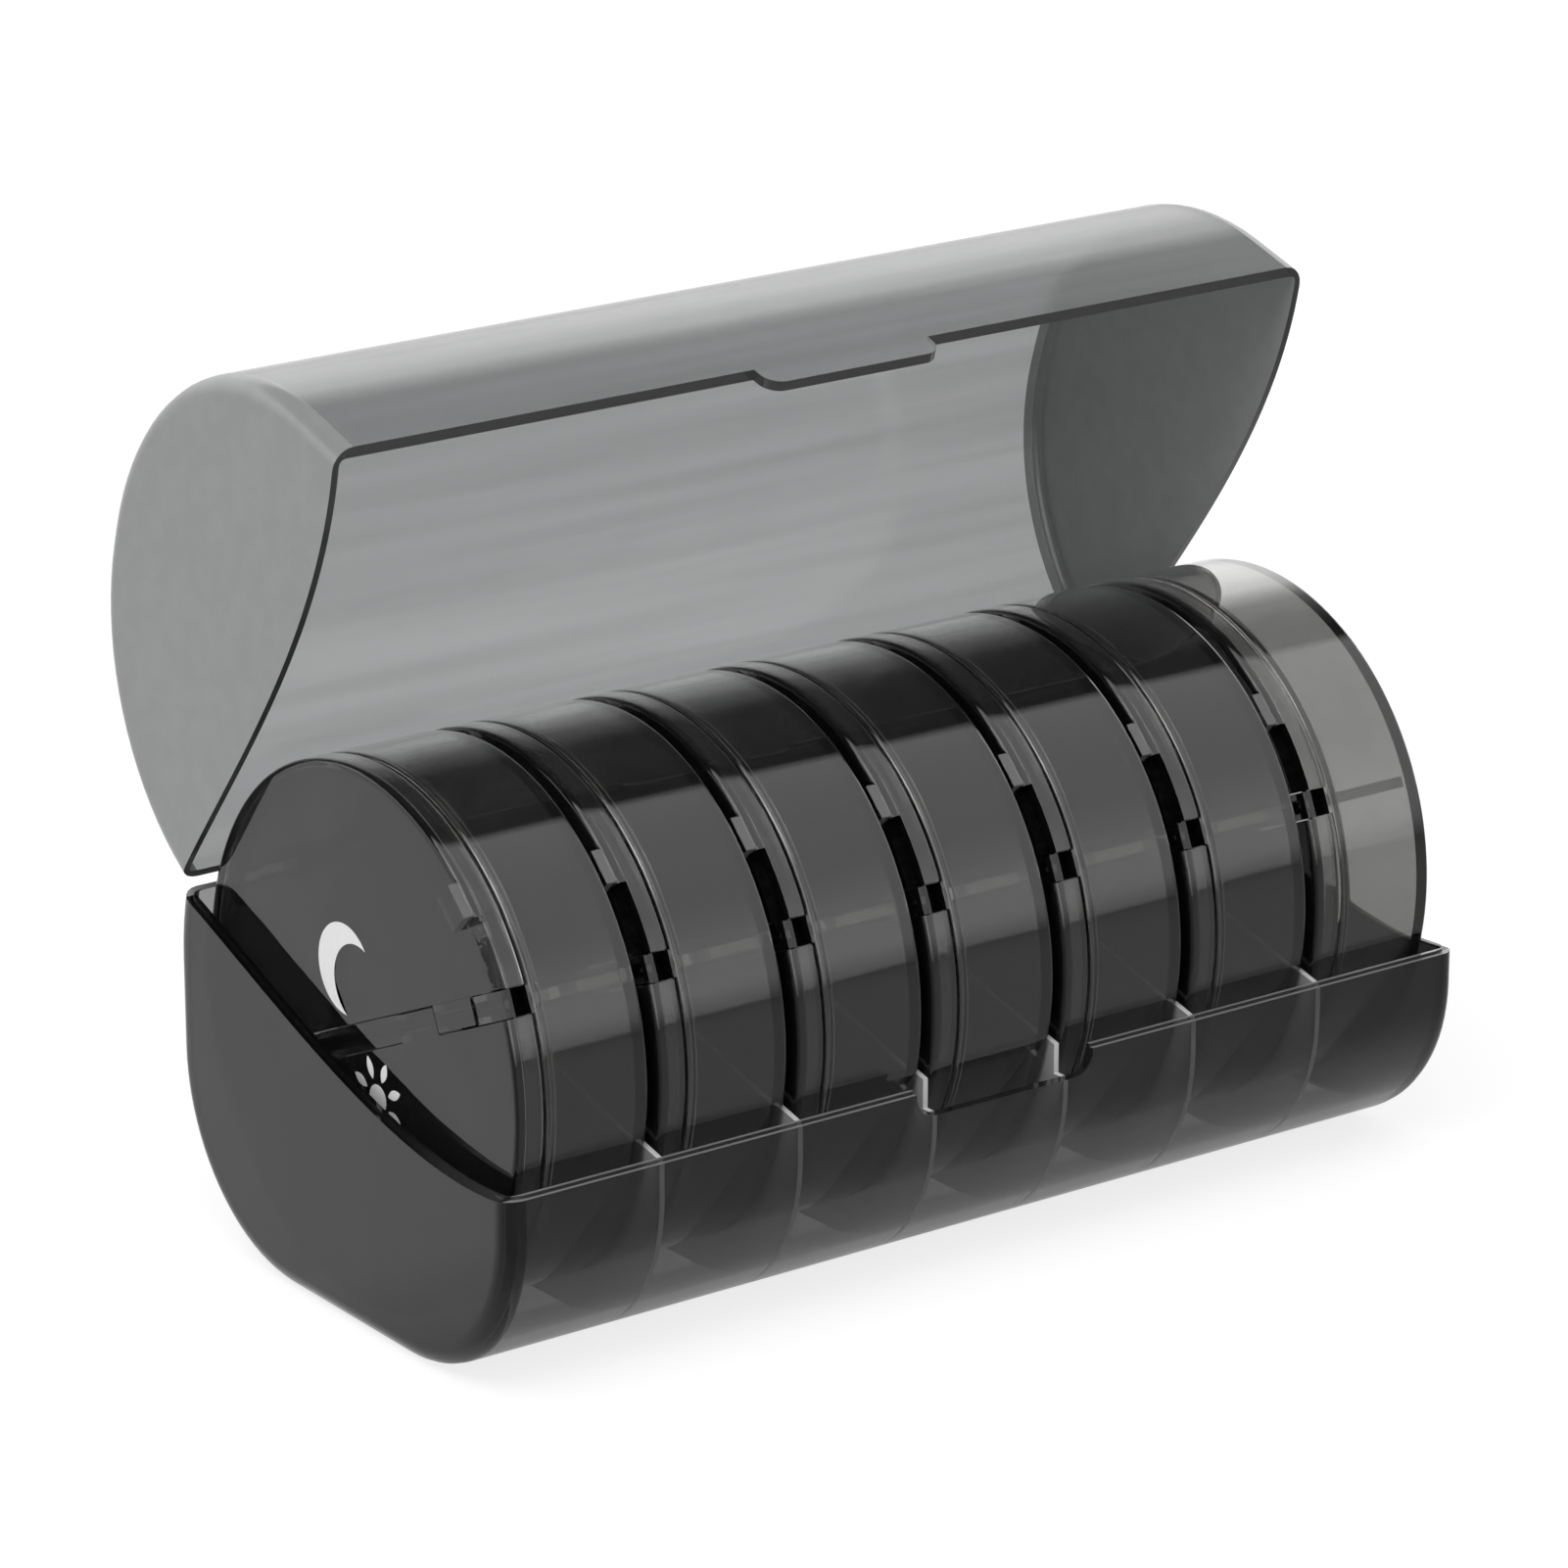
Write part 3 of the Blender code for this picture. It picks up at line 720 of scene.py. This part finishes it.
apart = (moon_centre - bite_centre).length
along = (apart**2 + moon_radius**2 - bite_radius**2) / (2 * apart)
lean = math.degrees(math.atan2(bite_centre.y - moon_centre.y, bite_centre.x - moon_centre.x))
open_half = math.degrees(math.acos(along / moon_radius))
bite_half = math.degrees(math.acos((apart - along) / bite_radius))
back_of_moon = arc_points(moon_centre, moon_radius, lean + open_half, lean + 360 - open_half, moon_steps)
bitten = arc_points(bite_centre, bite_radius, lean + 180 + bite_half, lean + 180 - bite_half, bite_steps)
crescent = back_of_moon + bitten[1:-1]

ray = [(ray_inner, 0)]
for step in range(1, ray_steps):
    t = step / ray_steps
    ray.append((ray_inner + (ray_outer - ray_inner) * t, ray_half * math.sin(math.pi * t) ** 0.8))
ray.append((ray_outer, 0))
ray += [(y, -z) for y, z in reversed(ray[1:-1])]


def around_tree():
    """Geometry Nodes: the piece that comes in, repeated round a circle about X."""
    tree = bpy.data.node_groups.new("repeat round a circle", "GeometryNodeTree")
    tree.interface.new_socket("Geometry", in_out="INPUT", socket_type="NodeSocketGeometry")
    tree.interface.new_socket("Count", in_out="INPUT", socket_type="NodeSocketInt")
    tree.interface.new_socket("Material", in_out="INPUT", socket_type="NodeSocketMaterial")
    tree.interface.new_socket("Geometry", in_out="OUTPUT", socket_type="NodeSocketGeometry")
    given = tree.nodes.new("NodeGroupInput")
    points = tree.nodes.new("GeometryNodeMeshLine")
    number = tree.nodes.new("GeometryNodeInputIndex")
    share = tree.nodes.new("ShaderNodeMath")
    share.operation = "DIVIDE"
    angle = tree.nodes.new("ShaderNodeMath")
    angle.operation = "MULTIPLY"
    angle.inputs[1].default_value = 2 * math.pi
    turn = tree.nodes.new("ShaderNodeCombineXYZ")
    copies = tree.nodes.new("GeometryNodeInstanceOnPoints")
    real = tree.nodes.new("GeometryNodeRealizeInstances")
    finish = tree.nodes.new("GeometryNodeSetMaterial")
    result = tree.nodes.new("NodeGroupOutput")
    tree.links.new(given.outputs["Count"], points.inputs["Count"])
    points.inputs["Offset"].default_value = (0, 0, 0)
    tree.links.new(number.outputs["Index"], share.inputs[0])
    tree.links.new(given.outputs["Count"], share.inputs[1])
    tree.links.new(share.outputs["Value"], angle.inputs[0])
    tree.links.new(angle.outputs["Value"], turn.inputs["X"])
    tree.links.new(points.outputs["Mesh"], copies.inputs["Points"])
    tree.links.new(given.outputs["Geometry"], copies.inputs["Instance"])
    tree.links.new(turn.outputs["Vector"], copies.inputs["Rotation"])
    tree.links.new(copies.outputs["Instances"], real.inputs["Geometry"])
    tree.links.new(real.outputs["Geometry"], finish.inputs["Geometry"])
    tree.links.new(given.outputs["Material"], finish.inputs["Material"])
    tree.links.new(finish.outputs["Geometry"], result.inputs["Geometry"])
    return tree


rays = grown(printed([ray]), around_tree(), Count=sun_rays, Material=ink)
rays.data.transform(Matrix.Translation((0, *sun_centre)))
disc = printed([arc_points(sun_centre, sun_radius, 0, 360 - 360 / sun_sides, sun_sides - 1)])
marks = {"pm": [printed([crescent])], "am": [disc, rays]}
for prefix, parts in marks.items():
    mesh = bmesh.new()
    for part in parts:
        mesh.from_mesh(part.data)
        bpy.data.objects.remove(part)
    pattern = to_object(f"{prefix}_print", mesh)
    pattern.data.materials.append(ink)
    for face in pattern.data.polygons:
        face.material_index = 0
    for day in range(1, days + 1):
        piece = place_in_row(pattern, f"{prefix}_print", day)
        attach(piece, f"{prefix}_{day}")
    bpy.data.objects.remove(pattern)

# The two hinge pins and the seven flap rods are plain drawn steel wire, cut to length and pressed into their
# knuckles and bars. Their solids stay as they are and only take their finish here.
wire = plain_finish("steel_wire", 0.42, 0.05, 700, 0.35, metal=1.0, stretch=(0.2, 1.0, 1.0))
wires = ["hinge_pin_left", "hinge_pin_right"] + [f"flap_rod_{day}" for day in range(1, days + 1)]
for name in wires:
    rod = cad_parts[name]
    rod.data.materials.clear()
    rod.data.materials.append(wire)

# The camera stands to the left of the row and a little above it, with a long lens, where the photograph was
# taken from.
looks_at = Vector((0.00464876, 0.01456223, 0.04256576))
stands_at = Vector((-0.42157163, -0.57376376, 0.29038796))
lens = bpy.data.cameras.new("camera")
lens.lens = 157.817
lens.sensor_width = 36
lens.clip_start = 0.01
camera = bpy.data.objects.new("camera", lens)
camera.location = stands_at
camera.rotation_euler = (looks_at - stands_at).to_track_quat("-Z", "Y").to_euler()
scene.collection.objects.link(camera)
scene.camera = camera

# The light is a white tent in front and a darker ceiling behind. What the plastic mirrors and what shows
# through it are graded apart from what lights it, and the camera sees plain white.
world = bpy.data.worlds.new("studio")
scene.world = world
world.use_nodes = True
tree = world.node_tree
tree.nodes.clear()
ceiling_strength, light_strength, camera_strength = 2.1, 0.8, 1.0


def graded(tree, start, end, low, high, interpolation="LINEAR"):
    """A node that turns start to end into low to high."""
    node = tree.nodes.new("ShaderNodeMapRange")
    node.interpolation_type = interpolation
    for name, value in (("From Min", start), ("From Max", end), ("To Min", low), ("To Max", high)):
        node.inputs[name].default_value = value
    return node


def combined(tree, operation):
    """A node for one sum with two values."""
    node = tree.nodes.new("ShaderNodeMath")
    node.operation = operation
    return node


result = tree.nodes.new("ShaderNodeOutputWorld")
background = tree.nodes.new("ShaderNodeBackground")
ray = tree.nodes.new("ShaderNodeLightPath")
direction = tree.nodes.new("ShaderNodeTexCoord")
split = tree.nodes.new("ShaderNodeSeparateXYZ")
behind = graded(tree, 0.04, 0.10, 0.0, 1.0)
overhead = tree.nodes.new("ShaderNodeValToRGB")
for position in (0.40, 0.52, 0.64):
    overhead.color_ramp.elements.new(position)
for element, share in zip(overhead.color_ramp.elements, (0.5, 1.0, 1.0, 0.25, 0.02)):
    element.color = (share, share, share, 1)
overhead.color_ramp.elements[4].position = 0.76
ceiling = combined(tree, "MULTIPLY")
ceiling.inputs[1].default_value = ceiling_strength
horizon = graded(tree, -0.05, 0.16, 0.3, 1.0, "SMOOTHSTEP")
left = graded(tree, 0.15, -0.15, 1.12, 2.4, "SMOOTHSTEP")
edge = graded(tree, -0.90, -0.65, 0.3, 1.0)
inner = combined(tree, "MULTIPLY")
front = combined(tree, "MULTIPLY")
tent = tree.nodes.new("ShaderNodeMix")
for_gloss = tree.nodes.new("ShaderNodeMix")
for_gloss.inputs["A"].default_value = light_strength
sky = graded(tree, 0.25, 0.60, 1.4, 0.10)
for_sight = tree.nodes.new("ShaderNodeMix")
for_camera = tree.nodes.new("ShaderNodeMix")
for_camera.inputs["B"].default_value = camera_strength
tree.links.new(direction.outputs["Generated"], split.inputs["Vector"])
tree.links.new(split.outputs["Y"], behind.inputs["Value"])
tree.links.new(split.outputs["Z"], overhead.inputs["Fac"])
tree.links.new(overhead.outputs["Color"], ceiling.inputs[0])
tree.links.new(split.outputs["Z"], horizon.inputs["Value"])
tree.links.new(split.outputs["X"], left.inputs["Value"])
tree.links.new(horizon.outputs["Result"], front.inputs[0])
tree.links.new(split.outputs["X"], edge.inputs["Value"])
tree.links.new(left.outputs["Result"], inner.inputs[0])
tree.links.new(edge.outputs["Result"], inner.inputs[1])
tree.links.new(inner.outputs["Value"], front.inputs[1])
tree.links.new(behind.outputs["Result"], tent.inputs["Factor"])
tree.links.new(front.outputs["Value"], tent.inputs["A"])
tree.links.new(ceiling.outputs["Value"], tent.inputs["B"])
tree.links.new(ray.outputs["Is Glossy Ray"], for_gloss.inputs["Factor"])
tree.links.new(tent.outputs["Result"], for_gloss.inputs["B"])
tree.links.new(split.outputs["Z"], sky.inputs["Value"])
tree.links.new(ray.outputs["Is Transmission Ray"], for_sight.inputs["Factor"])
tree.links.new(for_gloss.outputs["Result"], for_sight.inputs["A"])
tree.links.new(sky.outputs["Result"], for_sight.inputs["B"])
tree.links.new(ray.outputs["Is Camera Ray"], for_camera.inputs["Factor"])
tree.links.new(for_sight.outputs["Result"], for_camera.inputs["A"])
tree.links.new(for_camera.outputs["Result"], background.inputs["Strength"])
tree.links.new(background.outputs["Background"], result.inputs["Surface"])

# The floor is plain pale paper that keeps the object's shadow. Seen by the camera, in the plastic or through
# it, part of its white is its own, so that it meets the white behind it without an edge.
floor_half, paper_white = 3, 0.8
sheet = bmesh.new()
bmesh.ops.create_grid(sheet, x_segments=1, y_segments=1, size=floor_half)
data = bpy.data.meshes.new("floor")
sheet.to_mesh(data)
sheet.free()
floor = bpy.data.objects.new("floor", data)
scene.collection.objects.link(floor)
paper = bpy.data.materials.new("paper")
paper.use_nodes = True
tree = paper.node_tree
tree.nodes.clear()
result = tree.nodes.new("ShaderNodeOutputMaterial")
plain = tree.nodes.new("ShaderNodeBsdfDiffuse")
plain.inputs["Color"].default_value = (0.7, 0.7, 0.7, 1)
thin = tree.nodes.new("ShaderNodeBsdfDiffuse")
thin.inputs["Color"].default_value = (0.3, 0.3, 0.3, 1)
white = tree.nodes.new("ShaderNodeEmission")
shown = tree.nodes.new("ShaderNodeAddShader")
ray = tree.nodes.new("ShaderNodeLightPath")
seen = combined(tree, "MAXIMUM")
mirrored = combined(tree, "MAXIMUM")
choose = tree.nodes.new("ShaderNodeMixShader")
place = tree.nodes.new("ShaderNodeTexCoord")
split = tree.nodes.new("ShaderNodeSeparateXYZ")
# In the plastic's mirror image the paper is near black in front of the case and pale behind its front: painted
# shade for the case's shadow.
front = graded(tree, -0.05, 0.01, 0.05, 0.66)
strength = tree.nodes.new("ShaderNodeMix")
strength.inputs["A"].default_value = paper_white
tree.links.new(place.outputs["Object"], split.inputs["Vector"])
tree.links.new(split.outputs["Y"], front.inputs["Value"])
tree.links.new(ray.outputs["Is Glossy Ray"], strength.inputs["Factor"])
tree.links.new(front.outputs["Result"], strength.inputs["B"])
tree.links.new(strength.outputs["Result"], white.inputs["Strength"])
tree.links.new(ray.outputs["Is Glossy Ray"], mirrored.inputs[0])
tree.links.new(ray.outputs["Is Transmission Ray"], mirrored.inputs[1])
tree.links.new(ray.outputs["Is Camera Ray"], seen.inputs[0])
tree.links.new(mirrored.outputs["Value"], seen.inputs[1])
tree.links.new(thin.outputs["BSDF"], shown.inputs[0])
tree.links.new(white.outputs["Emission"], shown.inputs[1])
tree.links.new(seen.outputs["Value"], choose.inputs["Fac"])
tree.links.new(plain.outputs["BSDF"], choose.inputs[1])
tree.links.new(shown.outputs["Shader"], choose.inputs[2])
tree.links.new(choose.outputs["Shader"], result.inputs["Surface"])
data.materials.append(paper)

# One large soft lamp at the upper left gives the object its faint shadow. It is aimed at the middle of the row,
# a little above the case's rim.
lit_place = Vector((0, 0, 0.04))
soft = bpy.data.lights.new("soft_light", "AREA")
soft.shape = "RECTANGLE"
soft.size, soft.size_y = 0.7, 0.5
soft.energy = 4
lamp = bpy.data.objects.new("soft_light", soft)
lamp.location = (-0.5, -0.3, 0.9)
lamp.rotation_euler = (lit_place - lamp.location).to_track_quat("-Z", "Y").to_euler()
scene.collection.objects.link(lamp)

scene.view_settings.view_transform = "Standard"
